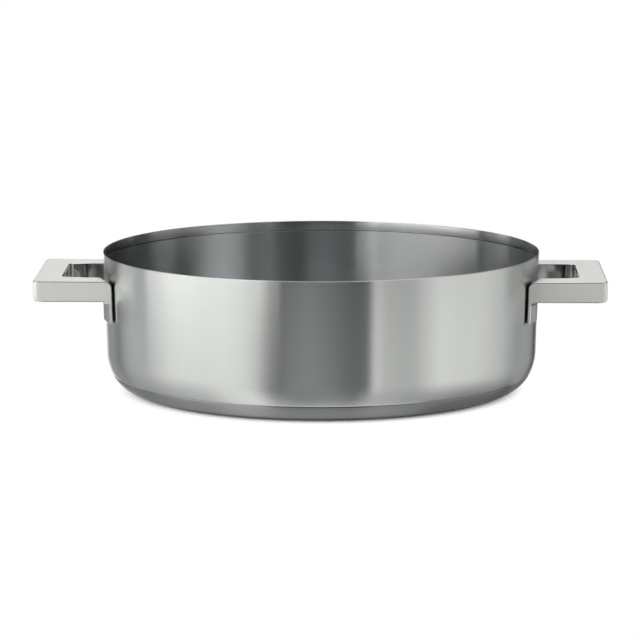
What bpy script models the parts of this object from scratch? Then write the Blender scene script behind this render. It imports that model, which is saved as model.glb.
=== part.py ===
"""Low steel saute pan with two cast loop handles and an encapsulated base.

The pan stands on Z = 0 with its axis on Z. The handles point along +X and -X, and -Y is
the front. Lengths are in metres, written as a number of millimetres times MM.
"""
import math

import bmesh
import bpy

MM = 0.001

# Pan body: one deep-drawn sheet with a slight draft
PAN_HEIGHT = 90.0 * MM
RIM_RADIUS = 141.0 * MM
WALL_DRAFT = math.radians(1.5)
BODY_SHEET = 0.9 * MM
RIM_ROUND = 0.35 * MM
CORNER_RADIUS = 33.0 * MM

# Ground seat for a lid, inside the rim
LID_SEAT_DEPTH = 6.4 * MM
LID_SEAT_STEP = 0.25 * MM

# Encapsulated base: an aluminium disc closed in by a thin steel cap
CAP_RADIUS = 21.0 * MM
CAP_SHEET = 0.5 * MM
SEAM_HEIGHT = 11.8 * MM
DISC_THICKNESS = 7.0 * MM
SEAT_GAP = 0.3 * MM
BEND_INSIDE = 0.2 * MM
BEND_OUTSIDE = 0.4 * MM

# Cast loop handle
HANDLE_DROP = 13.7 * MM
HANDLE_THICKNESS = 13.4 * MM
HANDLE_REACH = 41.8 * MM
HANDLE_HALF_WIDTH = 50.0 * MM
GRIP_WIDTH = 17.7 * MM
HOLE_HALF_WIDTH_AT_WALL = 34.0 * MM
HOLE_HALF_WIDTH_AT_GRIP = 30.0 * MM
FOOT_THICKNESS = 2.3 * MM
FOOT_DROP = 14.0 * MM
FOOT_STANDOFF = 0.9 * MM
NECK_RADIUS = 4.5 * MM
THROAT_RADIUS = 1.5 * MM
TOE_RADIUS = 2.6 * MM
EDGE_RADIUS = 0.7 * MM
NUB_RADIUS = 2.0 * MM
NUB_FLARE = 0.5 * MM

# Fineness of the round shapes
TURN_STEPS = 96
CORNER_STEPS = 6
BEND_STEPS = 3
ARC_STEPS = 4
ARM_STRIPS = 4
NUB_SIDES = 12
MERGE_DISTANCE = 0.01 * MM

# Colours as the steel shows them in a bright room
STEEL_COLOUR = (0.58, 0.59, 0.58, 1.0)
CAP_COLOUR = (0.47, 0.48, 0.47, 1.0)
HANDLE_COLOUR = (0.68, 0.68, 0.66, 1.0)
ALUMINIUM_COLOUR = (0.80, 0.80, 0.81, 1.0)


def clear_scene():
    """Remove what the start-up file holds."""
    for item in list(bpy.data.objects):
        bpy.data.objects.remove(item, do_unlink=True)


def new_collection(name, wire=False):
    """A collection in the scene, hidden from renders where it holds tools."""
    collection = bpy.data.collections.new(name)
    bpy.context.scene.collection.children.link(collection)
    collection.hide_render = wire
    return collection


def metal(name, colour, roughness):
    """A plain metal surface."""
    material = bpy.data.materials.new(name)
    material.use_nodes = True
    shader = material.node_tree.nodes["Principled BSDF"]
    shader.inputs["Base Color"].default_value = colour
    shader.inputs["Metallic"].default_value = 1.0
    shader.inputs["Roughness"].default_value = roughness
    return material


def arc(centre, radius, start, end, steps):
    """Points along an arc in the (r, z) plane, both ends included, angles from +r."""
    points = []
    for step in range(steps + 1):
        angle = start + (end - start) * step / steps
        points.append((centre[0] + radius * math.cos(angle), centre[1] + radius * math.sin(angle)))
    return points


def wall_radius(height):
    """Outer radius of the drafted wall at a height."""
    return RIM_RADIUS - math.tan(WALL_DRAFT) * (PAN_HEIGHT - height)


# The wall's corner arc and the cap's arc meet at the seam with one common tangent.
SEAM_ANGLE = math.asin(1.0 - SEAM_HEIGHT / CAP_RADIUS)
CORNER_CENTRE_Z = SEAM_HEIGHT + CORNER_RADIUS * math.sin(SEAM_ANGLE)
CORNER_CENTRE = (
    wall_radius(CORNER_CENTRE_Z) - CORNER_RADIUS / math.cos(WALL_DRAFT),
    CORNER_CENTRE_Z,
)
SEAM_RADIUS = CORNER_CENTRE[0] + CORNER_RADIUS * math.cos(SEAM_ANGLE)
CAP_CENTRE = (SEAM_RADIUS - CAP_RADIUS * math.cos(SEAM_ANGLE), CAP_RADIUS)

# The sheet steps in at the seam by the cap's thickness and its brazing gap.
JOGGLE_DEPTH = CAP_SHEET + SEAT_GAP
BEND_RADIUS = BODY_SHEET + BEND_INSIDE
JOGGLE_ANGLE = math.acos(1.0 - JOGGLE_DEPTH / (BEND_RADIUS + BEND_OUTSIDE))
JOGGLE_RUN = (BEND_RADIUS + BEND_OUTSIDE) * math.sin(JOGGLE_ANGLE)

DISC_BOTTOM = CAP_SHEET + SEAT_GAP
DISC_TOP = DISC_BOTTOM + DISC_THICKNESS
BODY_UNDERSIDE = DISC_TOP + SEAT_GAP

HANDLE_TOP = PAN_HEIGHT - HANDLE_DROP
HANDLE_UNDERSIDE = HANDLE_TOP - HANDLE_THICKNESS
FOOT_BOTTOM = HANDLE_UNDERSIDE - FOOT_DROP
FOOT_OUTSIDE = FOOT_STANDOFF + FOOT_THICKNESS
HOLE_REACH = HANDLE_REACH - GRIP_WIDTH


def body_profile():
    """Outer line of the drawn body, from the rim down to the middle of its flat bottom."""
    points = [(RIM_RADIUS, PAN_HEIGHT)]
    points += arc(CORNER_CENTRE, CORNER_RADIUS, -WALL_DRAFT, -SEAM_ANGLE, CORNER_STEPS)

    bend_end = SEAM_ANGLE + JOGGLE_ANGLE
    bend_centre = (
        CORNER_CENTRE[0] + (CORNER_RADIUS - BEND_RADIUS) * math.cos(SEAM_ANGLE),
        CORNER_CENTRE[1] - (CORNER_RADIUS - BEND_RADIUS) * math.sin(SEAM_ANGLE),
    )
    points += arc(bend_centre, BEND_RADIUS, -SEAM_ANGLE, -bend_end, BEND_STEPS)[1:]

    back_centre = (
        points[-1][0] + BEND_OUTSIDE * math.cos(bend_end),
        points[-1][1] - BEND_OUTSIDE * math.sin(bend_end),
    )
    points += arc(back_centre, BEND_OUTSIDE, math.pi - bend_end, math.pi - SEAM_ANGLE, BEND_STEPS)[1:]

    heel = points[-1]
    heel_radius = (heel[1] - BODY_UNDERSIDE) / (1.0 - math.sin(SEAM_ANGLE))
    heel_centre = (heel[0] - heel_radius * math.cos(SEAM_ANGLE), BODY_UNDERSIDE + heel_radius)
    points += arc(heel_centre, heel_radius, -SEAM_ANGLE, -math.pi / 2, ARC_STEPS)[1:]
    points.append((0.0, BODY_UNDERSIDE))
    return points


def cap_profile():
    """Outer line of the steel cap, from its upper edge down to the middle of the underside."""
    start = SEAM_ANGLE + JOGGLE_RUN / CAP_RADIUS
    return arc(CAP_CENTRE, CAP_RADIUS, -start, -math.pi / 2, CORNER_STEPS) + [(0.0, 0.0)]


def disc_profile():
    """Section of the aluminium disc, whose edge follows the inside of the cap."""
    radius = CAP_RADIUS - CAP_SHEET - SEAT_GAP
    start = math.asin((CAP_RADIUS - DISC_TOP) / radius)
    edge = arc(CAP_CENTRE, radius, -start, -math.pi / 2, ARC_STEPS)
    return [(0.0, DISC_TOP)] + edge + [(0.0, DISC_BOTTOM)]


def lid_seat_profile():
    """Section of the plug that grinds the lid's seat into the inside of the rim."""
    inset = BODY_SHEET / math.cos(WALL_DRAFT) - LID_SEAT_STEP
    low = PAN_HEIGHT - LID_SEAT_DEPTH
    high = PAN_HEIGHT + LID_SEAT_DEPTH
    return [
        (0.0, high),
        (wall_radius(high) - inset, high),
        (wall_radius(low) - inset, low),
        (0.0, low),
    ]


def turned(name, profile, collection, material=None):
    """Turn a profile, drawn down its outer side, about Z."""
    mesh = bpy.data.meshes.new(name)
    points = [(radius, 0.0, height) for radius, height in profile]
    edges = [(index, index + 1) for index in range(len(points) - 1)]
    mesh.from_pydata(points, edges, [])
    item = bpy.data.objects.new(name, mesh)
    collection.objects.link(item)
    if material is not None:
        mesh.materials.append(material)
    screw = item.modifiers.new("Turn", "SCREW")
    screw.steps = TURN_STEPS
    screw.render_steps = TURN_STEPS
    screw.use_merge_vertices = True
    screw.merge_threshold = MERGE_DISTANCE
    screw.use_smooth_shade = True
    return item


def add_sheet(item, thickness):
    """Give a turned outer skin its thickness, inwards."""
    sheet = item.modifiers.new("Sheet", "SOLIDIFY")
    sheet.thickness = thickness
    sheet.offset = -1.0
    sheet.use_even_offset = True


def add_edge_round(item, width, segments, angle):
    """Round the edges that are sharper than an angle."""
    bevel = item.modifiers.new("Edge round", "BEVEL")
    bevel.width = width
    bevel.segments = segments
    bevel.limit_method = "ANGLE"
    bevel.angle_limit = angle


def add_boolean(item, tool, operation):
    """Cut an object with a tool, or join the tool to it."""
    boolean = item.modifiers.new(tool.name, "BOOLEAN")
    boolean.operation = operation
    boolean.solver = "EXACT"
    boolean.object = tool
    tool.display_type = "WIRE"
    tool.hide_render = True


def make_pan_body(parts, tools):
    """The drawn body: a turned skin, its sheet, its rounded rim and the lid's seat."""
    steel = metal("brushed_steel", STEEL_COLOUR, 0.30)
    body = turned("pan_body", body_profile(), parts, steel)
    add_sheet(body, BODY_SHEET)
    add_edge_round(body, RIM_ROUND, 3, math.radians(60))
    plug = turned("lid_seat_plug", lid_seat_profile(), tools)
    add_boolean(body, plug, "DIFFERENCE")
    return body


def make_base(parts):
    """The aluminium disc and the steel cap that closes it in."""
    aluminium = metal("aluminium", ALUMINIUM_COLOUR, 0.45)
    disc = turned("heat_disc", disc_profile(), parts, aluminium)
    cap = turned("base_cap", cap_profile(), parts, metal("cap_steel", CAP_COLOUR, 0.35))
    add_sheet(cap, CAP_SHEET)
    return [disc, cap]


def handle_outline():
    """Side view of the handle as (reach, height): the arm with its foot, then the grip.

    Reach is the distance out from the pan's wall. The two outlines share the line where
    the finger hole ends.
    """
    hole_top = (HOLE_REACH, HANDLE_TOP)
    hole_bottom = (HOLE_REACH, HANDLE_UNDERSIDE)
    neck_centre = (FOOT_STANDOFF + NECK_RADIUS, HANDLE_TOP - NECK_RADIUS)
    throat_centre = (FOOT_OUTSIDE + THROAT_RADIUS, HANDLE_UNDERSIDE - THROAT_RADIUS)
    toe_centre = (HANDLE_REACH - TOE_RADIUS, HANDLE_UNDERSIDE + TOE_RADIUS)

    arm = [hole_top]
    arm += arc(neck_centre, NECK_RADIUS, math.pi / 2, math.pi, ARC_STEPS)
    arm += [(FOOT_STANDOFF, FOOT_BOTTOM), (FOOT_OUTSIDE, FOOT_BOTTOM)]
    arm += arc(throat_centre, THROAT_RADIUS, math.pi, math.pi / 2, ARC_STEPS)
    arm.append(hole_bottom)

    grip = arc(toe_centre, TOE_RADIUS, -math.pi / 2, 0.0, ARC_STEPS)
    grip.append((HANDLE_REACH, HANDLE_TOP))
    return arm, grip


def handle_point(reach, share, height):
    """Place a point of the half handle in the pan's frame.

    The share runs from 0 at the arm's outer side to 1 at the finger hole, and is 2 on the
    middle plane. The wall end of an arm follows the round wall, and the grip is straight.
    """
    on_grip = reach > HOLE_REACH - MERGE_DISTANCE
    slope = (HOLE_HALF_WIDTH_AT_GRIP - HOLE_HALF_WIDTH_AT_WALL) / HOLE_REACH
    inner = HOLE_HALF_WIDTH_AT_WALL + slope * min(reach, HOLE_REACH)
    y = 0.0 if share > 1.5 else HANDLE_HALF_WIDTH + (inner - HANDLE_HALF_WIDTH) * share
    if on_grip:
        x = RIM_RADIUS + reach
    else:
        x = math.sqrt((wall_radius(height) + reach) ** 2 - y ** 2)
    return (x, -y, height)


def draw_out(form, faces, distance):
    """Extrude a side view along Y, and return its new faces from the wall outwards."""
    drawn = bmesh.ops.extrude_face_region(form, geom=faces)["geom"]
    verts = [piece for piece in drawn if isinstance(piece, bmesh.types.BMVert)]
    bmesh.ops.translate(form, verts=verts, vec=(0.0, distance, 0.0))
    new_faces = [piece for piece in drawn if isinstance(piece, bmesh.types.BMFace)]
    return sorted(new_faces, key=lambda face: face.calc_center_median().x)


def handle_mesh():
    """Half of the handle, open on the middle plane: its side view drawn out in strips."""
    form = bmesh.new()
    arm, grip = handle_outline()
    arm_verts = [form.verts.new((reach, 0.0, height)) for reach, height in arm]
    grip_verts = [form.verts.new((reach, 0.0, height)) for reach, height in grip]
    side_view = [form.faces.new(arm_verts)]
    side_view.append(form.faces.new([arm_verts[0], arm_verts[-1]] + grip_verts))

    for strip in range(ARM_STRIPS):
        drawn = draw_out(form, side_view, 1.0 / ARM_STRIPS)
        if strip > 0:
            bmesh.ops.delete(form, geom=side_view, context="FACES")
        side_view = drawn
    grip_face = side_view[1]
    middle = draw_out(form, [grip_face], 1.0)
    bmesh.ops.delete(form, geom=[grip_face] + middle, context="FACES")

    for vert in form.verts:
        vert.co = handle_point(*vert.co)
    bmesh.ops.recalc_face_normals(form, faces=form.faces)
    mesh = bpy.data.meshes.new("handle")
    form.to_mesh(mesh)
    form.free()
    return mesh


def nub_mesh():
    """The projections under the feet that are welded to the wall, two to a foot."""
    form = bmesh.new()
    middle = 0.5 * (HANDLE_HALF_WIDTH + HOLE_HALF_WIDTH_AT_WALL)
    sunk = FOOT_STANDOFF + 0.5 * FOOT_THICKNESS
    depth = sunk - SEAT_GAP
    for side in (-1.0, 1.0):
        for share in (0.25, 0.75):
            height = FOOT_BOTTOM + share * (HANDLE_TOP - NECK_RADIUS - FOOT_BOTTOM)
            radius = wall_radius(height) + 0.5 * (SEAT_GAP + sunk)
            turn = side * math.asin(middle / radius)
            made = bmesh.ops.create_cone(
                form,
                cap_ends=True,
                segments=NUB_SIDES,
                radius1=NUB_RADIUS,
                radius2=NUB_RADIUS + NUB_FLARE,
                depth=depth,
            )
            for vert in made["verts"]:
                out, across, up = vert.co.z, vert.co.y, vert.co.x
                vert.co = (
                    (radius + out) * math.cos(turn) - across * math.sin(turn),
                    (radius + out) * math.sin(turn) + across * math.cos(turn),
                    height + up,
                )
    bmesh.ops.recalc_face_normals(form, faces=form.faces)
    mesh = bpy.data.meshes.new("weld_nubs")
    form.to_mesh(mesh)
    form.free()
    return mesh


def make_handles(parts, tools):
    """Two handles from one casting, half a turn apart about the pan's axis."""
    satin = metal("satin_steel", HANDLE_COLOUR, 0.38)
    casting = handle_mesh()
    casting.materials.append(satin)
    casting.shade_smooth()
    casting.set_sharp_from_angle(angle=math.radians(30))
    nubs = nub_mesh()
    handles = []
    for name, turn in (("handle_right", 0.0), ("handle_left", math.pi)):
        handle = bpy.data.objects.new(name, casting)
        parts.objects.link(handle)
        handle.rotation_euler.z = turn
        mirror = handle.modifiers.new("Other half", "MIRROR")
        mirror.use_axis = (False, True, False)
        mirror.merge_threshold = MERGE_DISTANCE
        add_edge_round(handle, EDGE_RADIUS, 2, math.radians(35))
        tool = bpy.data.objects.new(name + "_nubs", nubs)
        tools.objects.link(tool)
        tool.rotation_euler.z = turn
        add_boolean(handle, tool, "UNION")
        handles.append(handle)
    return handles


def build():
    """Make every piece and hang it on one empty at the pan's foot."""
    clear_scene()
    parts = new_collection("saute_pan")
    tools = new_collection("cutters", wire=True)
    pieces = [make_pan_body(parts, tools)]
    pieces += make_base(parts)
    pieces += make_handles(parts, tools)
    frame = bpy.data.objects.new("saute_pan_frame", None)
    parts.objects.link(frame)
    for piece in pieces:
        piece.parent = frame
    return pieces


if __name__ == "__main__":
    for built in build():
        print(built.name)
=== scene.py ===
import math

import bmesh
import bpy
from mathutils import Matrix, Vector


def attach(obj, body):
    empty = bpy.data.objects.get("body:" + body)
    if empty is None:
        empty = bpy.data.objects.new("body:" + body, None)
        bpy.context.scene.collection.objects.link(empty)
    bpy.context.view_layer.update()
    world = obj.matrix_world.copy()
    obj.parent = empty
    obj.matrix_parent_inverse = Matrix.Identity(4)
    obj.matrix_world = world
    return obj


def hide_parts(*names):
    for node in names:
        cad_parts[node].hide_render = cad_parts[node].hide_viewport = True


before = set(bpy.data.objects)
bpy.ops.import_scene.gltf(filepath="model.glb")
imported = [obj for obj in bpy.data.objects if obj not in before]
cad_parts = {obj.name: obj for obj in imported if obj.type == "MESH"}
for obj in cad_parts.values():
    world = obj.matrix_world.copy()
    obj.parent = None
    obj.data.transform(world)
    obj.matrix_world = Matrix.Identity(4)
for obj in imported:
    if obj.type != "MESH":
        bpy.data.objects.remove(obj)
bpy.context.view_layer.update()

# %% [markdown]
# # A low steel saute pan
#
# The object is a stainless saute pan, 282 mm across and 90 mm high, with two cast loop
# handles. The frame that was just loaded holds the plain solids, in metres, with the pan's
# axis on Z, the handles along X and the front towards -Y. Each cell below remakes one
# visible piece with finer curves, gives it its own steel, and lets it ride on the frame.
#
# The look of such a pan comes from three things: turned shapes that are exactly round,
# steel that is brushed round the axis, and a room with something dark and something bright
# in it for the steel to reflect.

MM = 0.001
SAME_POINT = 0.002 * MM
SHARP_FROM = math.radians(30.0)

# %% [markdown]
# ## The sizes
#
# Nearly all of these measures shaped the solids too, so every new piece fits the one that
# it stands for. Only small forms differ: here the feet are thinner, their throats are
# rounder, and the corners of the grip and of the finger hole are rounded in plan, as on the
# real casting. The sizes could be read off the loaded meshes, but named numbers say what
# they mean and can be changed one by one.

# %% Sizes of the pan
PAN_HEIGHT = 90.0 * MM
RIM_RADIUS = 141.0 * MM
WALL_DRAFT = math.radians(1.5)
BODY_SHEET = 0.9 * MM
RIM_ROUND = 0.35 * MM
CORNER_RADIUS = 33.0 * MM
LID_SEAT_DEPTH = 6.4 * MM
LID_SEAT_STEP = 0.25 * MM
GROOVE_HEIGHT = 0.75 * MM
GROOVE_DEPTH = 0.16 * MM
GROOVE_LEDGE = 0.04 * MM
LIP_ROUND = 0.25 * MM
CAP_RADIUS = 21.0 * MM
CAP_SHEET = 0.5 * MM
SEAM_HEIGHT = 11.8 * MM
DISC_THICKNESS = 7.0 * MM
SEAT_GAP = 0.3 * MM
BEND_INSIDE = 0.2 * MM
BEND_OUTSIDE = 0.4 * MM


def wall_radius(height):
    """Outer radius of the drafted wall at a height."""
    return RIM_RADIUS - math.tan(WALL_DRAFT) * (PAN_HEIGHT - height)


SEAM_ANGLE = math.asin(1.0 - SEAM_HEIGHT / CAP_RADIUS)
CORNER_Z = SEAM_HEIGHT + CORNER_RADIUS * math.sin(SEAM_ANGLE)
CORNER_CENTRE = (wall_radius(CORNER_Z) - CORNER_RADIUS / math.cos(WALL_DRAFT), CORNER_Z)
SEAM_RADIUS = CORNER_CENTRE[0] + CORNER_RADIUS * math.cos(SEAM_ANGLE)
CAP_CENTRE = (SEAM_RADIUS - CAP_RADIUS * math.cos(SEAM_ANGLE), CAP_RADIUS)
BODY_UNDERSIDE = CAP_SHEET + DISC_THICKNESS + 2.0 * SEAT_GAP
print(f"seam at radius {SEAM_RADIUS / MM:.1f} mm, height {SEAM_HEIGHT / MM:.1f} mm")

# %% Sizes of the handles
HANDLE_TOP = PAN_HEIGHT - 13.7 * MM
HANDLE_THICKNESS = 13.4 * MM
HANDLE_REACH = 41.8 * MM
HANDLE_HALF_WIDTH = 50.0 * MM
GRIP_WIDTH = 17.7 * MM
GRIP_CORNER_ROUND = 3.0 * MM
HOLE_HALF_WIDTH_AT_WALL = 34.0 * MM
HOLE_HALF_WIDTH_AT_GRIP = 30.0 * MM
HOLE_ROUND = 3.0 * MM
FOOT_THICKNESS = 1.9 * MM
FOOT_DROP = 14.0 * MM
FOOT_STANDOFF = 0.9 * MM
NECK_RADIUS = 4.5 * MM
THROAT_RADIUS = 3.2 * MM
TOE_RADIUS = 2.6 * MM
EDGE_RADIUS = 0.7 * MM
NUB_RADIUS = 2.0 * MM

HANDLE_UNDERSIDE = HANDLE_TOP - HANDLE_THICKNESS
FOOT_BOTTOM = HANDLE_UNDERSIDE - FOOT_DROP
FOOT_OUTSIDE = FOOT_STANDOFF + FOOT_THICKNESS
HOLE_REACH = HANDLE_REACH - GRIP_WIDTH
hole_mm = (2 * HOLE_HALF_WIDTH_AT_GRIP / MM, HOLE_REACH / MM)
print(f"finger hole {hole_mm[0]:.0f} mm wide, {hole_mm[1]:.1f} mm deep")

# %% The corner of the finger hole
HOLE_LEAN = math.atan((HOLE_HALF_WIDTH_AT_WALL - HOLE_HALF_WIDTH_AT_GRIP) / HOLE_REACH)
corner_reach = HOLE_REACH - HOLE_ROUND
wall_of_hole = HOLE_HALF_WIDTH_AT_WALL - math.tan(HOLE_LEAN) * corner_reach
# The centre of the round, as a reach from the wall and a distance from the middle.
HOLE_CORNER = (corner_reach, wall_of_hole - HOLE_ROUND / math.cos(HOLE_LEAN))
# The reach at which the straight arm ends and the round begins.
ARM_END = corner_reach + HOLE_ROUND * math.sin(HOLE_LEAN)
print(f"the arm runs straight for {ARM_END / MM:.1f} mm, then turns into the grip")

# %% [markdown]
# ## A pen for sections
#
# A turned piece is known by its section, which a draughtsman draws with a ruler and a pair
# of compasses. A long list of points would make the same line, but nobody could read the
# radii in it. Here a pen holds the last point: a straight run extrudes that point, and an
# arc spins it round a centre. Turning the finished line is then one more spin, about Z.

# %% The section pen
class Section:
    """The line of a turned piece, drawn in the XZ plane from one point to the next."""

    def __init__(self, radius, height):
        self.form = bmesh.new()
        self.tip = self.form.verts.new((radius, 0.0, height))

    def line(self, radius, height):
        """A straight run to a point."""
        drawn = bmesh.ops.extrude_vert_indiv(self.form, verts=[self.tip])
        self.tip = drawn["verts"][0]
        self.tip.co = (radius, 0.0, height)

    def arc(self, centre, degrees, steps):
        """An arc about a centre, anticlockwise as seen from -Y where degrees are positive."""
        drawn = bmesh.ops.spin(
            self.form,
            geom=[self.tip],
            cent=(centre[0], 0.0, centre[1]),
            axis=(0.0, -1.0, 0.0),
            angle=math.radians(degrees),
            steps=steps,
        )
        ends = [piece for piece in drawn["geom_last"] if isinstance(piece, bmesh.types.BMVert)]
        self.tip = ends[0]

    def turn(self, name, steps):
        """Turn the line about Z into one closed skin that faces outwards."""
        form = self.form
        bmesh.ops.spin(
            form,
            geom=form.verts[:] + form.edges[:],
            cent=(0.0, 0.0, 0.0),
            axis=(0.0, 0.0, 1.0),
            angle=math.tau,
            steps=steps,
            use_merge=True,
        )
        bmesh.ops.remove_doubles(form, verts=form.verts, dist=SAME_POINT)
        bmesh.ops.recalc_face_normals(form, faces=form.faces)
        return finished(name, form)


# %% From a form to an object
def finished(name, form):
    """Turn a form into an object at the origin, smooth except at its sharp edges."""
    mesh = bpy.data.meshes.new(name)
    form.to_mesh(mesh)
    form.free()
    mesh.shade_smooth()
    mesh.set_sharp_from_angle(angle=SHARP_FROM)
    piece = bpy.data.objects.new(name, mesh)
    bpy.context.scene.collection.objects.link(piece)
    triangles = sum(len(face.vertices) - 2 for face in mesh.polygons)
    print(f"{name}: {triangles} triangles")
    return piece


# %% [markdown]
# ## The drawn body
#
# One sheet of steel, pressed into a pot: a wall that leans out by 1.5 degrees, a corner with
# a radius of 33 mm, a small step in at the seam where the base cap takes over, and a flat
# floor. The rim is cut and rounded, and a seat for a lid is ground 6.4 mm deep inside it.
# It could be a cylinder with modifiers for the thickness and the rounding. Drawing both
# sides of the sheet gives each radius its own number, so the inner arc is really 0.9 mm
# tighter than the outer one.

# %% The body's section
TURN_STEPS = 288
SHEET_CORNER = CORNER_RADIUS - BODY_SHEET
BEND = BODY_SHEET + BEND_INSIDE
JOGGLE = math.acos(1.0 - (CAP_SHEET + SEAT_GAP) / (BEND + BEND_OUTSIDE))
SEAM_SIN, SEAM_COS = math.sin(SEAM_ANGLE), math.cos(SEAM_ANGLE)
bend_centre = (
    CORNER_CENTRE[0] + (CORNER_RADIUS - BEND) * SEAM_COS,
    CORNER_CENTRE[1] - (CORNER_RADIUS - BEND) * SEAM_SIN,
)
step_angle = SEAM_ANGLE + JOGGLE
step_reach = BEND + BEND_OUTSIDE
back_centre = (
    bend_centre[0] + step_reach * math.cos(step_angle),
    bend_centre[1] - step_reach * math.sin(step_angle),
)
heel = (
    back_centre[0] - BEND_OUTSIDE * SEAM_COS,
    back_centre[1] + BEND_OUTSIDE * SEAM_SIN,
)
heel_radius = (heel[1] - BODY_UNDERSIDE) / (1.0 - SEAM_SIN)
heel_centre = (heel[0] - heel_radius * SEAM_COS, BODY_UNDERSIDE + heel_radius)
seam_degrees = math.degrees(SEAM_ANGLE)
joggle_degrees = math.degrees(JOGGLE)
draft_degrees = math.degrees(WALL_DRAFT)
print(f"joggle {joggle_degrees:.1f} degrees, heel radius {heel_radius / MM:.1f} mm")

# %% Drawing the outside of the sheet
# The last number of each arc is its count of straight steps.
body_line = Section(0.0, BODY_UNDERSIDE)
body_line.line(heel_centre[0], BODY_UNDERSIDE)
body_line.arc(heel_centre, 90.0 - seam_degrees, 10)
body_line.arc(back_centre, -joggle_degrees, 5)
body_line.arc(bend_centre, joggle_degrees, 6)
body_line.arc(CORNER_CENTRE, seam_degrees - draft_degrees, 14)
rim_edge = PAN_HEIGHT - RIM_ROUND
body_line.line(wall_radius(rim_edge), rim_edge)
body_line.arc((wall_radius(rim_edge) - RIM_ROUND, rim_edge), 90.0, 6)
print(f"outside drawn up to the rim, {body_line.tip.co.z / MM:.2f} mm high")

# %% Drawing the inside and turning the body
inset = BODY_SHEET / math.cos(WALL_DRAFT)
lip_inset = inset - LID_SEAT_STEP
groove_low = PAN_HEIGHT - LID_SEAT_DEPTH - 0.5 * GROOVE_HEIGHT
groove_high = groove_low + GROOVE_HEIGHT
groove_deepest = groove_low + 0.3 * GROOVE_HEIGHT
lip_round = (wall_radius(PAN_HEIGHT) - lip_inset + LIP_ROUND, PAN_HEIGHT - LIP_ROUND)
body_line.line(lip_round[0], PAN_HEIGHT)
body_line.arc(lip_round, 90.0, 4)
body_line.line(wall_radius(groove_high) - inset + GROOVE_LEDGE, groove_high)
body_line.line(wall_radius(groove_low) - inset + GROOVE_DEPTH, groove_deepest)
body_line.line(wall_radius(groove_low) - inset, groove_low)
inner_wall_end = (
    CORNER_CENTRE[0] + SHEET_CORNER * math.cos(WALL_DRAFT),
    CORNER_CENTRE[1] - SHEET_CORNER * math.sin(WALL_DRAFT),
)
body_line.line(*inner_wall_end)
body_line.arc(CORNER_CENTRE, draft_degrees - seam_degrees, 14)
body_line.arc(bend_centre, -joggle_degrees, 4)
body_line.arc(back_centre, joggle_degrees, 8)
body_line.arc(heel_centre, seam_degrees - 90.0, 10)
body_line.line(0.0, body_line.tip.co.z)
pan_shell = body_line.turn("pan_shell", TURN_STEPS)

# %% [markdown]
# ## The base cap
#
# A thin steel cup, pressed over the aluminium disc and brazed on. Its side carries on the
# curve of the body, so only a fine dark line shows where it ends. It could be cut from the
# body's own surface, but then both edges of that line would be sharp. The cap is drawn like
# the body, and its upper edge is rounded almost over the whole thickness of the sheet, so
# that the edge catches the light beside the dark line.

# %% Drawing and turning the cap
CAP_LIP = 0.42 * MM
LIP_DROP = 1.40 * MM
cap_start = SEAM_ANGLE + LIP_DROP / CAP_RADIUS
start_cos, start_sin = math.cos(cap_start), math.sin(cap_start)
cap_sweep = 90.0 - math.degrees(cap_start)


def on_cap(depth):
    """The point at the cap's upper end that lies at a depth under its outer face."""
    return (
        CAP_CENTRE[0] + (CAP_RADIUS - depth) * start_cos,
        CAP_CENTRE[1] - (CAP_RADIUS - depth) * start_sin,
    )


cap_line = Section(0.0, 0.0)
cap_line.line(CAP_CENTRE[0], 0.0)
cap_line.arc(CAP_CENTRE, cap_sweep, 16)
cap_line.arc(on_cap(CAP_LIP), 90.0, 8)
lip_top = cap_line.tip.co
flat = CAP_SHEET - CAP_LIP
cap_line.line(lip_top.x - start_cos * flat, lip_top.z + start_sin * flat)
cap_line.line(*on_cap(CAP_SHEET))
cap_line.arc(CAP_CENTRE, -cap_sweep, 16)
cap_line.line(0.0, CAP_SHEET)
cap_skin = cap_line.turn("cap_skin", TURN_STEPS)

# %% [markdown]
# ## The cast handle
#
# A flat steel loop, cast in one piece. Seen from the side it is a bar with a foot that turns
# down along the wall, a round throat under the bar, a round neck over the foot and a small
# round at the toe. Seen from above it is a broad grip between two arms, with rounded corners
# outside and inside. Cutting a hole in a box and gluing feet under it would lose the neck
# and the throat, which run on from the bar. Instead the side view is drawn first, as a face.
# It is extruded across the arm, and only the grip's share of it goes on to the middle.
# Each point carries its distance from the wall, its share across the arm and its height.
# One function then bends the wall end to the round pan, and lets the first strips follow
# the grip's round corner and the last ones the corner of the hole.

# %% The handle's side view
def corner_arc(form, centre, radius, start, sweep, steps):
    """Spin one point round a centre, and return the arc's points in order."""
    first = form.verts.new(
        (
            centre[0] + radius * math.cos(math.radians(start)),
            0.0,
            centre[1] + radius * math.sin(math.radians(start)),
        )
    )
    points = [first]
    for step in range(steps):
        drawn = bmesh.ops.extrude_vert_indiv(form, verts=[points[-1]])["verts"]
        bmesh.ops.rotate(
            form,
            verts=drawn,
            cent=(centre[0], 0.0, centre[1]),
            matrix=Matrix.Rotation(math.radians(-sweep / steps), 3, "Y"),
        )
        points.append(drawn[0])
    return points


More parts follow.
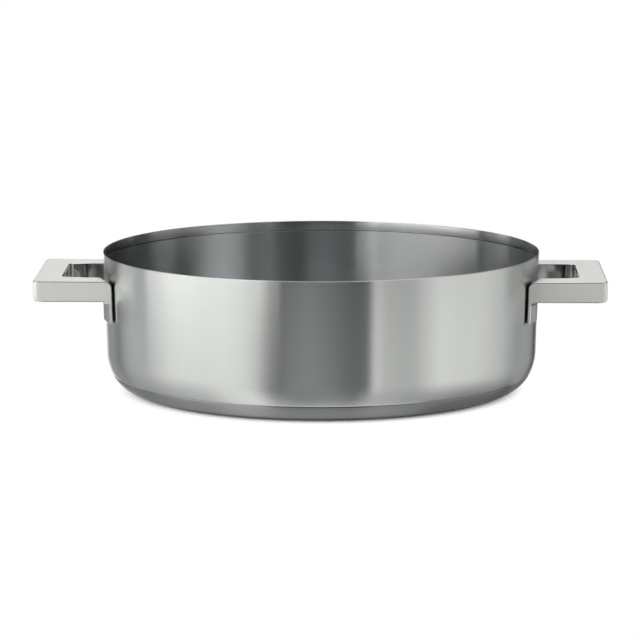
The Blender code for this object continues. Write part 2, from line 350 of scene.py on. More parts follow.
def side_view(form):
    """The arm with its foot, and the grip, as two faces that meet at the finger hole."""
    neck_centre = (FOOT_STANDOFF + NECK_RADIUS, HANDLE_TOP - NECK_RADIUS)
    throat_centre = (FOOT_OUTSIDE + THROAT_RADIUS, HANDLE_UNDERSIDE - THROAT_RADIUS)
    toe_centre = (HANDLE_REACH - TOE_RADIUS, HANDLE_UNDERSIDE + TOE_RADIUS)
    hole_top = form.verts.new((ARM_END, 0.0, HANDLE_TOP))
    hole_low = form.verts.new((ARM_END, 0.0, HANDLE_UNDERSIDE))
    neck = corner_arc(form, neck_centre, NECK_RADIUS, 90.0, 90.0, 10)
    foot = [
        form.verts.new((FOOT_STANDOFF, 0.0, FOOT_BOTTOM)),
        form.verts.new((FOOT_OUTSIDE, 0.0, FOOT_BOTTOM)),
    ]
    throat = corner_arc(form, throat_centre, THROAT_RADIUS, 180.0, -90.0, 6)
    toe = corner_arc(form, toe_centre, TOE_RADIUS, -90.0, 90.0, 8)
    grip_top = form.verts.new((HANDLE_REACH, 0.0, HANDLE_TOP))
    arm = form.faces.new([hole_top] + neck + foot + throat + [hole_low])
    grip = form.faces.new([hole_top, hole_low] + toe + [grip_top])
    return [arm, grip]


# %% Bending the handle to the wall
ARM_STRIPS = 8
HOLE_CORNER_STRIPS = 6
GRIP_CORNER_STRIPS = 4
CLOSE = 0.01 * MM


def handle_place(reach, share, height):
    """Where a point of the side view goes.

    Its share is 0 on the arm's outer side and 1 at the hole. From 1 to 1.5 it follows the
    round corner of the hole, and 2 is the middle of the grip.
    """
    on_grip = reach > ARM_END - CLOSE
    at_hole = on_grip and reach < ARM_END + CLOSE
    inner = HOLE_HALF_WIDTH_AT_WALL - math.tan(HOLE_LEAN) * min(reach, ARM_END)
    y = HANDLE_HALF_WIDTH + (inner - HANDLE_HALF_WIDTH) * share
    if on_grip and not at_hole and share <= 1.0:
        strip = share * ARM_STRIPS
        round_end = HANDLE_HALF_WIDTH - GRIP_CORNER_ROUND
        past = (strip - GRIP_CORNER_STRIPS) / (ARM_STRIPS - GRIP_CORNER_STRIPS)
        turn = math.pi / 2 * min(strip / GRIP_CORNER_STRIPS, 1.0)
        y = round_end + (inner - round_end) * max(past, 0.0) + GRIP_CORNER_ROUND * math.cos(turn)
        reach -= GRIP_CORNER_ROUND * (1.0 - math.sin(turn))
    if share > 1.0:
        turn = HOLE_LEAN + (math.pi / 2 - HOLE_LEAN) * min(2.0 * (share - 1.0), 1.0)
        y = 0.0 if share > 1.75 else HOLE_CORNER[1] + HOLE_ROUND * math.cos(turn)
        reach = HOLE_CORNER[0] + HOLE_ROUND * math.sin(turn) if at_hole else reach
    if on_grip:
        return (RIM_RADIUS + reach, -y, height)
    return (math.sqrt((wall_radius(height) + reach) ** 2 - y**2), -y, height)


toe_mm = [round(value / MM, 1) for value in handle_place(HANDLE_REACH, 2.0, HANDLE_TOP)]
print("the middle of the grip's outer edge, in mm:", toe_mm)

# %% Strip by strip across the handle
def extrude_view(form, faces, distance):
    """Draw a side view out along Y, and return the new faces from the wall outwards."""
    drawn = bmesh.ops.extrude_face_region(form, geom=faces)["geom"]
    moved = [piece for piece in drawn if isinstance(piece, bmesh.types.BMVert)]
    bmesh.ops.translate(form, verts=moved, vec=(0.0, distance, 0.0))
    ends = [piece for piece in drawn if isinstance(piece, bmesh.types.BMFace)]
    return sorted(ends, key=lambda face: face.calc_center_median().x)


def draw_out(form):
    """Draw the arm and the grip out to the hole, then the grip alone to the middle."""
    view = side_view(form)
    for strip in range(ARM_STRIPS):
        drawn = extrude_view(form, view, 1.0 / ARM_STRIPS)
        if strip > 0:
            bmesh.ops.delete(form, geom=view, context="FACES")
        view = drawn
    grip = [view[1]]
    for strip in range(HOLE_CORNER_STRIPS + 1):
        in_corner = strip < HOLE_CORNER_STRIPS
        drawn = extrude_view(form, grip, 0.5 / HOLE_CORNER_STRIPS if in_corner else 0.5)
        bmesh.ops.delete(form, geom=grip, context="FACES")
        grip = drawn
    bmesh.ops.delete(form, geom=grip, context="FACES")


# %% Casting the handle
GROUND_FROM = math.radians(35)


def mark_ground_edges(form):
    """Give a bevel weight to the sharp edges and to the whole outline of each side face."""
    weight = form.edges.layers.float.new("bevel_weight_edge")
    side = HANDLE_HALF_WIDTH - 0.05 * MM
    for edge in form.edges:
        on_side = [abs(face.calc_center_median().y) > side for face in edge.link_faces]
        sharp = edge.calc_face_angle() > GROUND_FROM
        edge[weight] = 1.0 if sharp or on_side.count(True) == 1 else 0.0


def cast_handle():
    """Draw out half of the handle, bend it, mirror it to the whole loop, mark its edges."""
    form = bmesh.new()
    draw_out(form)
    for point in form.verts:
        point.co = handle_place(*point.co)
    half = form.verts[:] + form.edges[:] + form.faces[:]
    bmesh.ops.mirror(form, geom=half, axis="Y", merge_dist=CLOSE)
    bmesh.ops.remove_doubles(form, verts=form.verts, dist=0.5 * CLOSE)
    bmesh.ops.recalc_face_normals(form, faces=form.faces)
    mark_ground_edges(form)
    return form


# %% [markdown]
# ## Soft edges on the casting
#
# The real handle is ground after casting, so its faces are flat and crisp and its edges are
# rounded by 0.7 mm. Without that round a metal edge has nothing to catch the light with.
# The Bevel modifier is used here because it can harden the normals: the flat faces stay
# flat in the reflection, and only the narrow round bends it. It works on the edges that
# were marked, because an angle alone would end the round in the middle of a grip's corner.
#
# A casting has three finishes, and a face is given one of them by where it looks. The flat faces are
# satin. The ground edges, the walls of the finger hole and the outer faces of the feet are polished.
# The backs of the feet, which face the wall, are painted nearly black as painted shade in the gap
# beside the wall.

# %% Which face gets which finish
SATIN, POLISHED, FOOT_BACK_SHADE = 0, 1, 2
# Limits on the parts of a face's normal, and a margin on its place.
UPRIGHT = 0.2
LOOKS_AWAY = 0.6
SQUARE_ON = 0.9
MARGIN = 0.5 * MM


def outwards(face):
    """How far a face looks away from the pan's axis: 1 straight out, -1 straight in."""
    middle = face.calc_center_median()
    return face.normal.dot(Vector((middle.x, middle.y, 0.0)).normalized())


def in_hole(face):
    """True for the walls of the finger hole."""
    middle = face.calc_center_median()
    upright = abs(face.normal.z) < UPRIGHT
    between = abs(middle.y) < HOLE_HALF_WIDTH_AT_WALL + MARGIN
    inside = middle.z > HANDLE_UNDERSIDE and middle.x < RIM_RADIUS + HOLE_REACH + 2.0 * MARGIN
    to_the_middle = face.normal.y * middle.y < -1e-9 or face.normal.x < -SQUARE_ON
    return upright and between and inside and to_the_middle


def finish_of(face):
    """The finish of one face of the right handle, before it is turned to its place."""
    under_the_arm = face.calc_center_median().z < HANDLE_UNDERSIDE - 0.1 * MM
    if in_hole(face) or (under_the_arm and outwards(face) > LOOKS_AWAY):
        return POLISHED
    # Faces that look back at the wall are painted nearly black, as painted shade in the gap.
    return FOOT_BACK_SHADE if outwards(face) < -LOOKS_AWAY else SATIN


# %% Making both handles
def make_handle(name, turn):
    """One finished handle, turned about the pan's axis, with rounded edges."""
    form = cast_handle()
    for face in form.faces:
        face.material_index = finish_of(face)
    to_place = Matrix.Rotation(turn, 3, "Z")
    bmesh.ops.rotate(form, verts=form.verts, cent=(0, 0, 0), matrix=to_place)
    piece = finished(name, form)
    rounding = piece.modifiers.new("Ground edges", "BEVEL")
    rounding.width = EDGE_RADIUS
    rounding.segments = 4
    rounding.limit_method = "WEIGHT"
    rounding.harden_normals = True
    rounding.use_clamp_overlap = False
    rounding.material = POLISHED
    return piece


loop_right = make_handle("loop_right", 0.0)
loop_left = make_handle("loop_left", math.pi)

# %% [markdown]
# ## The weld nubs
#
# The feet don't lie on the wall. Two small cones under each foot are pressed against it and
# welded, which leaves the fine dark gap that shows beside the foot. They could be left out,
# for they hardly show, but then light would come through the whole gap and the handle would
# hang in the air.

# %% Making the nubs
NUB_HEIGHTS = (0.25, 0.75)
NUB_SPREAD = 1.25


def make_nubs(name, turn):
    """The four nubs of one handle, sunk halfway into the foot and set on the wall."""
    form = bmesh.new()
    middle = 0.5 * (HANDLE_HALF_WIDTH + HOLE_HALF_WIDTH_AT_WALL)
    sunk = FOOT_STANDOFF + 0.5 * FOOT_THICKNESS
    for side in (-1.0, 1.0):
        for share in NUB_HEIGHTS:
            height = FOOT_BOTTOM + share * (HANDLE_TOP - NECK_RADIUS - FOOT_BOTTOM)
            radius = wall_radius(height) + 0.5 * sunk
            made = bmesh.ops.create_cone(
                form,
                cap_ends=True,
                segments=24,
                radius1=NUB_RADIUS,
                radius2=NUB_SPREAD * NUB_RADIUS,
                depth=sunk,
            )
            angle = side * math.asin(middle / radius) + turn
            stand = Matrix.Rotation(angle, 4, "Z") @ Matrix.Translation((radius, 0, height))
            place = stand @ Matrix.Rotation(math.pi / 2, 4, "Y")
            bmesh.ops.transform(form, matrix=place, verts=made["verts"])
    bmesh.ops.recalc_face_normals(form, faces=form.faces)
    return finished(name, form)


nubs_right = make_nubs("weld_nubs_right", 0.0)
nubs_left = make_nubs("weld_nubs_left", math.pi)

# %% [markdown]
# ## A bench for finishes
#
# Each finish is a small graph of nodes. Written out link by link such a graph is hard to
# read, so a number in it is wrapped in a class that knows plus, minus, times, over and to
# the power of, and one method adds any other node. A formula in the finish then reads like
# a formula.

# %% Numbers that are sockets
class Amount:
    """A number that varies over the surface, held by the socket that gives it."""

    def __init__(self, finish, socket):
        self.finish = finish
        self.socket = socket

    def _math(self, operation, first, second):
        inputs = {0: first, 1: second}
        made = self.finish.node("ShaderNodeMath", {"operation": operation}, inputs)
        return Amount(self.finish, made.outputs[0])

    def __add__(self, other):
        return self._math("ADD", self, other)

    def __radd__(self, other):
        return self._math("ADD", other, self)

    def __sub__(self, other):
        return self._math("SUBTRACT", self, other)

    def __rsub__(self, other):
        return self._math("SUBTRACT", other, self)

    def __mul__(self, other):
        return self._math("MULTIPLY", self, other)

    def __rmul__(self, other):
        return self._math("MULTIPLY", other, self)

    def __truediv__(self, other):
        return self._math("DIVIDE", self, other)

    def __rtruediv__(self, other):
        return self._math("DIVIDE", other, self)

    def __pow__(self, other):
        return self._math("POWER", self, other)

    def __rpow__(self, other):
        return self._math("POWER", other, self)

    def at_least(self, other):
        """The larger of this number and another."""
        return self._math("MAXIMUM", self, other)


# %% The bench itself
class Finish:
    """One finish: its material, its shader, and the method that adds any node to it."""

    def __init__(self, name):
        self.material = bpy.data.materials.new(name)
        self.material.use_nodes = True
        self.tree = self.material.node_tree
        self.shader = self.tree.nodes.get("Principled BSDF")

    def node(self, kind, settings=None, inputs=None):
        """Add a node: its settings first, then a value or a link for each named socket."""
        made = self.tree.nodes.new(kind)
        for key, value in (settings or {}).items():
            if key == "stops":
                self._set_stops(made.color_ramp, value)
            else:
                setattr(made, key, value)
        for key, value in (inputs or {}).items():
            self.feed(made.inputs[key], value)
        return made

    def feed(self, socket, value):
        """Link a socket to an amount or another socket, or set it to a plain value."""
        if isinstance(value, Amount):
            value = value.socket
        if isinstance(value, bpy.types.NodeSocket):
            self.tree.links.new(value, socket)
        else:
            socket.default_value = value

    def _set_stops(self, ramp, stops):
        while len(ramp.elements) < len(stops):
            ramp.elements.new(0.5)
        for element, (place, grey) in zip(ramp.elements, stops):
            element.position = place
            element.color = (grey, grey, grey, 1.0)

    def amount(self, socket):
        """A socket as a number to count with."""
        return Amount(self, socket)

    def object_place(self):
        """The place on the piece, as the socket that textures read."""
        return self.node("ShaderNodeTexCoord").outputs["Object"]

    def coordinates(self):
        """The place on the piece, as three numbers."""
        parts = self.node("ShaderNodeSeparateXYZ", inputs={0: self.object_place()})
        return [self.amount(parts.outputs[index]) for index in range(3)]

    def ramp_between(self, value, low, high, at_low, at_high, smooth=False):
        """A number that runs from one value to another while its input runs low to high."""
        settings = {"interpolation_type": "SMOOTHSTEP" if smooth else "LINEAR"}
        inputs = {0: value, 1: low, 2: high, 3: at_low, 4: at_high}
        return self.amount(self.node("ShaderNodeMapRange", settings, inputs).outputs[0])

    def mix(self, share, first, second):
        """A colour between two, by a share."""
        inputs = {0: share, 6: first, 7: second}
        return self.node("ShaderNodeMix", {"data_type": "RGBA"}, inputs).outputs[2]

    def metal(self):
        """Make the shader bare metal."""
        self.shader.inputs["Metallic"].default_value = 1.0

    def relief(self, height, strength, depth):
        """Raise the surface by a height, through a bump."""
        inputs = {"Strength": strength, "Distance": depth, "Height": height}
        bump = self.node("ShaderNodeBump", inputs=inputs)
        self.feed(self.shader.inputs["Normal"], bump.outputs[0])


# %% [markdown]
# ## Steel brushed round the axis
#
# The pan is spun while a belt touches it, so the scratches run round it: along the wall,
# round the corner and in rings on the floor. Under light such scratches smear a reflection
# across themselves, which is why the wall shows tall soft bands and no clear picture.
#
# Two things make this. The shader's anisotropy stretches the reflection: Cycles takes the
# tangent round Z where none is given, and a quarter turn sets the long side of the smear
# across the scratches. And a noise that changes fast with height and radius but slowly
# round the axis gives the scratches themselves. Its place round the axis is given as a
# direction and not as an angle, because an angle would leave a seam where it starts again.
#
# The cap is turned rather than brushed, so it is duller, and its tone is painted darker than the
# body's as painted shade low by the floor. Its heel is painted darker still, to a dark ring, as
# painted shade where it meets the table.

# %% The scratch pattern
def radius_of(x, y):
    """The distance from the pan's axis, kept just above nothing so that it can divide."""
    return ((x * x + y * y) ** 0.5).at_least(0.5 * MM)


def scratches(finish, lines, length, detail):
    """The height of fine rings about Z, from 0 to 1, for the wall and the floor alike."""
    x, y, z = finish.coordinates()
    radius = radius_of(x, y)
    direction = finish.node(
        "ShaderNodeCombineXYZ",
        inputs={0: x / radius * length, 1: y / radius * length, 2: radius * lines},
    )
    vector, depth = direction.outputs[0], z * lines
    made = finish.node(
        "ShaderNodeTexNoise",
        {"noise_dimensions": "4D"},
        {"Vector": vector, "W": depth, "Scale": 1.0, "Detail": detail, "Roughness": 0.6},
    )
    return finish.amount(made.outputs["Fac"])


# %% Painted shade on the heel
# The heel's painted shade: its share at the table, its colour and its height.
HEEL_SHADE_SHARE = 0.85
HEEL_SHADE_COLOUR = (0.03, 0.03, 0.03, 1)
CAP_HEEL = 3.2 * MM


def heel_painted_shade(steel, height):
    """Painted shade on the heel: most at the table, none at a height or on the flat underside."""
    x, y, z = steel.coordinates()
    flat_to = CAP_CENTRE[0]
    low = steel.ramp_between(z, 0.0, height, HEEL_SHADE_SHARE, 0.0)
    out = steel.ramp_between(radius_of(x, y), flat_to, flat_to + height, 0.0, 1.0)
    return low * out


# %% Brushed steel
QUARTER_TURN = 0.25
FINE_SHARE = 0.85
BROAD_LINES = 0.12
ROUGHNESS_SPREAD = 0.06
RELIEF_DEPTH = 0.01 * MM


def brushed_steel(name, dark, light, roughness, lines, relief=0.10, heel_shade_to=0.0):
    """Steel brushed round the pan's axis, with painted shade below a height on its heel."""
    steel = Finish(name)
    steel.metal()
    steel.shader.inputs["Anisotropic"].default_value = 1.0
    steel.shader.inputs["Anisotropic Rotation"].default_value = QUARTER_TURN
    fine = scratches(steel, lines, length=5.0, detail=3.0)
    broad = scratches(steel, BROAD_LINES * lines, length=2.0, detail=2.0)
    grain = FINE_SHARE * fine + (1.0 - FINE_SHARE) * broad
    colour = steel.mix(grain, dark, light)
    if heel_shade_to > 0.0:
        # Painted shade: the heel is darkened towards the table.
        colour = steel.mix(heel_painted_shade(steel, heel_shade_to), colour, HEEL_SHADE_COLOUR)
    steel.feed(steel.shader.inputs["Base Color"], colour)
    # The grain swings round one half.
    steel.feed(steel.shader.inputs["Roughness"], roughness + ROUGHNESS_SPREAD * (grain - 0.5))
    steel.relief(fine, relief, RELIEF_DEPTH)
    return steel.material


# %% The finishes of the body and the cap
# How many scratches lie side by side on a metre of steel.
BELT_LINES = 3000.0
TOOL_LINES = 2200.0
body_steel = brushed_steel(
    "body_steel_brushed", (0.58, 0.595, 0.59, 1), (0.66, 0.67, 0.665, 1), 0.25, BELT_LINES
)
# The inside is painted darker than the outside, as painted shade inside the pan.
inner_steel = brushed_steel(
    "body_steel_inside_shaded", (0.49, 0.505, 0.51, 1), (0.54, 0.55, 0.56, 1), 0.23, BELT_LINES, 0.04
)
# The lid seat's groove is painted dark, as painted shade in the groove; its greater roughness is
# real.
groove_steel = brushed_steel(
    "body_steel_groove_shaded", (0.20, 0.21, 0.21, 1), (0.30, 0.31, 0.31, 1), 0.45, BELT_LINES
)
# The cap's tone is painted darker than the body's, as painted shade low by the floor; its duller,
# turned finish is real.
cap_steel = brushed_steel(
    "cap_steel_turned_shaded",
    (0.30, 0.31, 0.31, 1),
    (0.41, 0.42, 0.42, 1),
    0.38,
    TOOL_LINES,
    heel_shade_to=CAP_HEEL,
)
print("brushed finishes:", body_steel.name, inner_steel.name, groove_steel.name, cap_steel.name)

# %% Putting them on
OUTSIDE, INSIDE, GROOVE = 0, 1, 2
for finish in (body_steel, inner_steel, groove_steel):
    pan_shell.data.materials.append(finish)
for face in pan_shell.data.polygons:
    across = Vector((face.center.x, face.center.y, 0.0))
    inwards = face.normal.dot(across) < 0.0 or face.normal.z > 0.5
    under_rim = inwards and face.center.z < PAN_HEIGHT - 0.1 * MM
    in_groove = inwards and groove_low < face.center.z < groove_high
    face.material_index = GROOVE if in_groove else INSIDE if under_rim else OUTSIDE
cap_skin.data.materials.append(cap_steel)
counts = [face.material_index for face in pan_shell.data.polygons]
print("faces outside, inside, in the groove:", [counts.count(kind) for kind in range(3)])

# %% [markdown]
# ## Satin and polish on the castings
#
# The handles are blasted with fine glass beads, which leaves an even satin with no direction. Their
# ground edges, the walls of the finger hole and the outer faces of the feet are polished, and the
# backs of the feet are painted nearly black, as painted shade in the gap by the wall. A flat grey
# would look like plastic, so each finish has a fine grain in its roughness and its height, and a
# slow cloud in its tone. One recipe makes all three, and the rolled aluminium of the hidden disc as
# well.

# %% Cast steel
CLOUD_SCALE = 60.0
CLOUD_SHARE = 0.6
GRAIN_SPREAD = 0.12
CLOUD_SPREAD = 0.09
BUMP_STRENGTH = 0.3


def cast_steel(name, dark, light, roughness, grain_size, depth):
    """Metal with an even grain and a slow cloud, and no direction."""
    steel = Finish(name)
    steel.metal()
    place = steel.object_place()
    grain_inputs = {"Vector": place, "Scale": 1.0 / grain_size, "Detail": 3.0}
    cloud_inputs = {"Vector": place, "Scale": CLOUD_SCALE, "Detail": 2.0}
    fine = steel.amount(steel.node("ShaderNodeTexNoise", inputs=grain_inputs).outputs["Fac"])
    slow = steel.amount(steel.node("ShaderNodeTexNoise", inputs=cloud_inputs).outputs["Fac"])
    tone = CLOUD_SHARE * slow + (1.0 - CLOUD_SHARE) * fine
    steel.feed(steel.shader.inputs["Base Color"], steel.mix(tone, dark, light))
    # Both noises swing round one half, so the factor stays near one.
    factor = 1.0 + GRAIN_SPREAD * (fine - 0.5) + CLOUD_SPREAD * (slow - 0.5)
    steel.feed(steel.shader.inputs["Roughness"], roughness * factor)
    steel.relief(fine, BUMP_STRENGTH, depth)
    return steel.material


satin = cast_steel(
    "handle_steel_satin", (0.885, 0.90, 0.87, 1), (0.935, 0.945, 0.92, 1), 0.66, 0.5 * MM, 0.01 * MM
)
polished = cast_steel(
    "handle_steel_polished", (0.52, 0.53, 0.52, 1), (0.62, 0.63, 0.62, 1), 0.04, 2.0 * MM, 0.005 * MM
)
# The backs of the feet: painted nearly black, as painted shade in the gap by the wall; the roughness
# is real.
foot_back_shade = cast_steel(
    "handle_foot_back_painted_shade", (0.03, 0.03, 0.03, 1), (0.07, 0.07, 0.065, 1), 0.60, 0.4 * MM, 0.02 * MM
)
print("finishes of the castings:", satin.name, polished.name, foot_back_shade.name)

# %% Putting them on the handles
NEARLY_UPRIGHT = 0.3


def blast_grip_corners(handle):
    """Settle the ground edges into the mesh, and give the grip's round corners the satin."""
    bpy.context.view_layer.update()
    evaluated = handle.evaluated_get(bpy.context.evaluated_depsgraph_get())
    ground = bpy.data.meshes.new_from_object(evaluated)
    handle.modifiers.clear()
    handle.data = ground
    corner_x = RIM_RADIUS + HANDLE_REACH - GRIP_CORNER_ROUND - TOE_RADIUS
    corner_y = HANDLE_HALF_WIDTH - GRIP_CORNER_ROUND
    for face in ground.polygons:
        upright = abs(face.normal.z) < NEARLY_UPRIGHT
        if upright and abs(face.center.x) > corner_x and abs(face.center.y) > corner_y:
            face.material_index = SATIN


for handle in (loop_right, loop_left):
    for finish in (satin, polished, foot_back_shade):
        handle.data.materials.append(finish)
    blast_grip_corners(handle)
    print(f"{handle.name}: {len(handle.data.polygons)} faces with its edges ground")
for nubs in (nubs_right, nubs_left):
    nubs.data.materials.append(satin)

# %% The hidden disc
aluminium = cast_steel(
    "disc_aluminium_rolled", (0.72, 0.72, 0.73, 1), (0.84, 0.84, 0.85, 1), 0.45, 0.8 * MM, 0.02 * MM
)
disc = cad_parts["heat_disc"]
disc.data.materials.clear()
disc.data.materials.append(aluminium)
print("the disc is", aluminium.name)

# %% [markdown]
# ## Riding on the frame
#
# Nothing on this pan moves, so every piece rides on the one body, and each says which solid
# it stands for. The nubs belong to the same casting as their handle.

# %% Riding
for piece, node, slot in (
    (pan_shell, "pan_body", "body_steel"),
    (cap_skin, "base_cap", "cap_steel"),
    (loop_right, "handle_right", "satin_steel"),
    (loop_left, "handle_left", "satin_steel"),
):
    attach(piece, "root")
    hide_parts(node)
    print(piece.name, "stands for", node)
for nubs in (nubs_right, nubs_left):
    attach(nubs, "root")

# %% [markdown]
# ## The floor
#
# The pan was photographed for a catalogue, on plain white, and the shadow under it is close
# and soft. The floor here is a small ring of pale board that takes this shadow. Towards its
# edge it turns clear, and the white of the room takes over without an edge. A floor out to
# the horizon would also do, but it would stand in every reflection in the wall. It is open
# under the pan, where no light comes anyway, so a look from below still shows the underside.

# %% Cutting the floor
FLOOR_RADIUS = 133.0 * MM
SHADOW_RADIUS = 116.0 * MM
FLOOR_OPENING = 112.0 * MM
FLOOR_LEVEL = -0.2 * MM
floor_form = bmesh.new()
inner_edge = bmesh.ops.create_circle(floor_form, cap_ends=False, segments=128, radius=FLOOR_OPENING)
bmesh.ops.translate(floor_form, verts=inner_edge["verts"], vec=(0.0, 0.0, FLOOR_LEVEL))
drawn = bmesh.ops.extrude_edge_only(floor_form, edges=floor_form.edges[:])["geom"]
outer_edge = [piece for piece in drawn if isinstance(piece, bmesh.types.BMVert)]
spread = FLOOR_RADIUS / FLOOR_OPENING
bmesh.ops.scale(floor_form, verts=outer_edge, vec=(spread, spread, 1.0))
floor_form.normal_update()
face_down = [face for face in floor_form.faces if face.normal.z < 0.0]
bmesh.ops.reverse_faces(floor_form, faces=face_down)
floor = finished("floor", floor_form)

# %% The floor's board
paper = Finish("floor_white")
paper.tree.nodes.remove(paper.shader)
length = paper.node("ShaderNodeVectorMath", {"operation": "LENGTH"}, {0: paper.object_place()})
out = length.outputs["Value"]
fade = paper.ramp_between(out, SHADOW_RADIUS, FLOOR_RADIUS, 0.0, 1.0, smooth=True)
board_face = paper.node("ShaderNodeBsdfDiffuse", inputs={"Color": (0.86, 0.86, 0.86, 1)})
clear = paper.node("ShaderNodeBsdfTransparent")
shaders = {0: fade, 1: board_face.outputs[0], 2: clear.outputs[0]}
meet = paper.node("ShaderNodeMixShader", inputs=shaders)
paper.feed(paper.tree.nodes["Material Output"].inputs["Surface"], meet.outputs[0])
floor.data.materials.append(paper.material)
print(f"the board fades out from {SHADOW_RADIUS / MM:.0f} to {FLOOR_RADIUS / MM:.0f} mm")

# %% [markdown]
# ## The room
#
# Brushed steel shows the room it stands in. The room here is plain white, and a ring of
# cards stands round the pan, closer than the camera and unseen by it: bright on the left,
# dark behind the camera, grey to the right of it, and a bright one further round. There are
# five rows of them, one over the other, because the wall, the inside, the corner and the
# flat tops of the handles look at different heights of the room.
# The cards could be many lamps and flags. One ring with a ramp round it for each row is
# easier to tune, because the place of a stop on the ramp is an angle in the room.

# %% The ring of cards
RING_RADIUS = 1.3
RING_HALF_HEIGHT = 2.2
ring_form = bmesh.new()
start = ring_form.verts.new((0.0, RING_RADIUS, -RING_HALF_HEIGHT))
top = bmesh.ops.extrude_vert_indiv(ring_form, verts=[start])
top["verts"][0].co.z = RING_HALF_HEIGHT
bmesh.ops.spin(
    ring_form,
    geom=ring_form.verts[:] + ring_form.edges[:],
    cent=(0, 0, 0),
    axis=(0, 0, 1),
    angle=math.tau,
    steps=96,
    use_merge=True,
)
cards = finished("card_ring", ring_form)

# %% The two lower rows of cards
# Each card: its bearing in degrees round the pan, and how bright it is there.
UNDER_CARDS = (
    (-165, 0.00), (-150, 0.45), (-127, 0.40), (-112, 0.40), (-97, 0.50), (-67, 0.65),
    (-55, 1.05), (-35, 1.10), (-28, 0.40), (-15, 0.24), (-7, 0.20), (7, 0.30),
    (20, 0.15), (28, 0.50), (40, 0.50), (55, 0.40), (70, 0.38), (82, 0.32),
    (100, 0.20), (125, 0.25), (140, 0.00),
)
LOW_CARDS = (
    (-172, 0.00), (-163, 1.60), (-158, 1.30), (-154, 0.30), (-140, 0.42), (-130, 0.25),
    (-116, 0.55), (-97, 0.70), (-85, 0.90), (-62, 1.00), (-48, 1.00), (-40, 0.88),
    (-34, 0.68), (-29, 0.15), (-21, 0.05), (-16, 0.34), (-5, 0.45), (11, 0.27),
    (25, 0.15), (27, 1.15), (30, 1.10), (33, 0.85), (49, 0.75), (56, 1.00),
    (63, 1.25), (86, 1.13), (105, 0.82), (123, 0.48), (145, 0.42), (155, 0.00),
    (163, 0.50), (172, 2.00),
)
print("cards in the two lower rows:", len(UNDER_CARDS), len(LOW_CARDS))

# %% The three upper rows of cards
MIDDLE_CARDS = (
    (-128, 0.00), (-126, 2.40), (-119, 2.20), (-112, 1.20), (-100, 0.40), (-97, 3.20),
    (-80, 3.10), (-70, 2.50), (-62, 1.70), (-52, 1.20), (-45, 0.80), (-33, 0.40),
    (-30, 2.20), (-24, 2.40), (-23.5, 1.00), (-22, 1.00), (-21.5, 3.00), (-20, 2.60),
    (-19.5, 0.00), (45, 0.00), (50, 0.50), (75, 0.50), (90, 0.90), (108, 0.90),
    (115, 0.00), (128, 0.00), (131, 0.80), (136, 0.30), (140, 0.00),
)
HIGH_CARDS = (
    (-165, 1.50), (-160, 0.00), (-92, 0.00), (-86, 2.00), (-70, 2.80), (-31, 2.80),
    (-27, 0.20), (-15, 0.00), (163, 0.00), (168, 1.50),
)
TOP_CARDS = (
    (-175, 0.80), (-160, 0.00), (-95, 0.00), (-85, 0.80), (-62, 1.00), (-57, 2.60),
    (-32, 2.60), (-28, 0.00), (28, 0.00), (32, 1.80), (60, 1.90), (65, 2.50),
    (90, 2.50), (95, 0.00), (150, 0.00), (155, 0.80),
)
# Each row with the height of its upper edge; the last row goes on to the top.
CARD_ROWS = (
    (UNDER_CARDS, -0.60),
    (LOW_CARDS, 0.16),
    (MIDDLE_CARDS, 0.38),
    (HIGH_CARDS, 0.90),
    (TOP_CARDS, None),
)
print("rows of cards:", len(CARD_ROWS))

# %% Painting the cards
ROW_BLEND = 0.03
# The darker cards are a touch cooler than the bright ones.
COOL_GREY = (0.97, 1.0, 1.03, 1.0)
WARM_WHITE = (1.0, 1.0, 0.965, 1.0)


def card_ramp(board, bearing, stops):
    """The brightness of one row of cards, from a bearing that runs from 0 to 1."""
    places = [((angle + 180.0) / 360.0, grey) for angle, grey in stops]
    return board.node("ShaderNodeValToRGB", {"stops": places}, {0: bearing}).outputs["Color"]


board = Finish("card_greys")
board.tree.nodes.remove(board.shader)
x, y, z = board.coordinates()
turn = board.node("ShaderNodeMath", {"operation": "ARCTAN2"}, {0: x, 1: y * -1.0})
bearing = board.amount(turn.outputs[0]) / math.tau + 0.5
greys = None
for stops, upper_edge in CARD_ROWS:
    row = card_ramp(board, bearing, stops)
    greys = row if greys is None else board.mix(above, greys, row)
    if upper_edge is not None:
        blend = (upper_edge - ROW_BLEND, upper_edge + ROW_BLEND)
        above = board.ramp_between(z, blend[0], blend[1], 0.0, 1.0)
tint = board.mix(greys, COOL_GREY, WARM_WHITE)
multiply = {"data_type": "RGBA", "blend_type": "MULTIPLY"}
tinted = board.node("ShaderNodeMix", multiply, {0: 1.0, 6: greys, 7: tint})
light = board.node("ShaderNodeEmission", inputs={"Color": tinted.outputs[2], "Strength": 1.0})
board.feed(board.tree.nodes["Material Output"].inputs["Surface"], light.outputs[0])
cards.data.materials.append(board.material)
cards.visible_camera = False
print("stops on the ramps:", [len(stops) for stops, _ in CARD_ROWS])

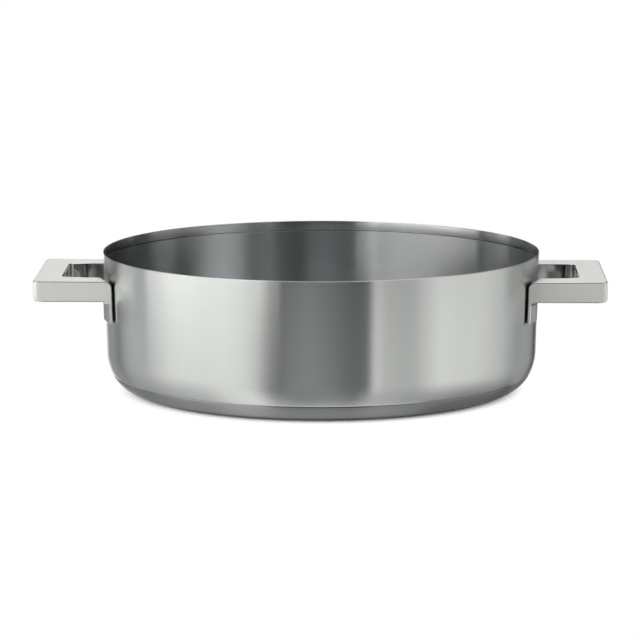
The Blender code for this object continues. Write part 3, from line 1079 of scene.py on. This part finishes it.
# %% The soft light overhead
overhead = bpy.data.lights.new("overhead", "AREA")
overhead.shape = "DISK"
overhead.size = 1.5
overhead.energy = 5.0
overhead_lamp = bpy.data.objects.new("overhead", overhead)
overhead_lamp.location = (0.0, 0.0, 1.9)
bpy.context.scene.collection.objects.link(overhead_lamp)
print(f"a disc of light {overhead.size} m across, {overhead_lamp.location.z:.1f} m up")

# %% The white of the room
world = bpy.data.worlds.new("white_room")
bpy.context.scene.world = world
world.use_nodes = True
background = world.node_tree.nodes["Background"]
background.inputs["Color"].default_value = (1.0, 1.0, 1.0, 1.0)
background.inputs["Strength"].default_value = 1.0
print("the room is", world.name)

# %% [markdown]
# ## The camera
#
# A long lens from about 2.4 m away, nine degrees above the rim, found by fitting the
# outlines of the pan. The pan stands turned by just under one degree, which the camera's
# place gives here, because the pan itself stays where it is. A wide lens from nearby would
# show as much, but the near side of the rim would look much larger than the far side.

# %% The camera
CAMERA_DISTANCE = 2.40
CAMERA_PITCH = math.radians(9.114)
CAMERA_TURN = math.radians(0.884)
FRAME_PIXELS = 640.0
FOCAL_PIXELS = 3695.1
SHIFT_PIXELS = (-1.10, -1.92)
SENSOR_WIDTH = 36.0
pivot = Vector((0.0, 0.0, 0.5 * PAN_HEIGHT))
back = Vector(
    (
        math.sin(CAMERA_TURN) * math.cos(CAMERA_PITCH),
        -math.cos(CAMERA_TURN) * math.cos(CAMERA_PITCH),
        math.sin(CAMERA_PITCH),
    )
)
camera_data = bpy.data.cameras.new("camera")
camera = bpy.data.objects.new("camera", camera_data)
bpy.context.scene.collection.objects.link(camera)
camera.location = pivot + back * CAMERA_DISTANCE
camera.rotation_euler = (-back).to_track_quat("-Z", "Y").to_euler()
camera_data.sensor_width = SENSOR_WIDTH
camera_data.lens = FOCAL_PIXELS / FRAME_PIXELS * SENSOR_WIDTH
camera_data.shift_x = SHIFT_PIXELS[0] / FRAME_PIXELS
camera_data.shift_y = SHIFT_PIXELS[1] / FRAME_PIXELS
camera_data.clip_end = 50.0
bpy.context.scene.camera = camera
bpy.context.scene.view_settings.view_transform = "Standard"
print(f"lens {camera_data.lens:.0f} mm, {CAMERA_DISTANCE} m away")
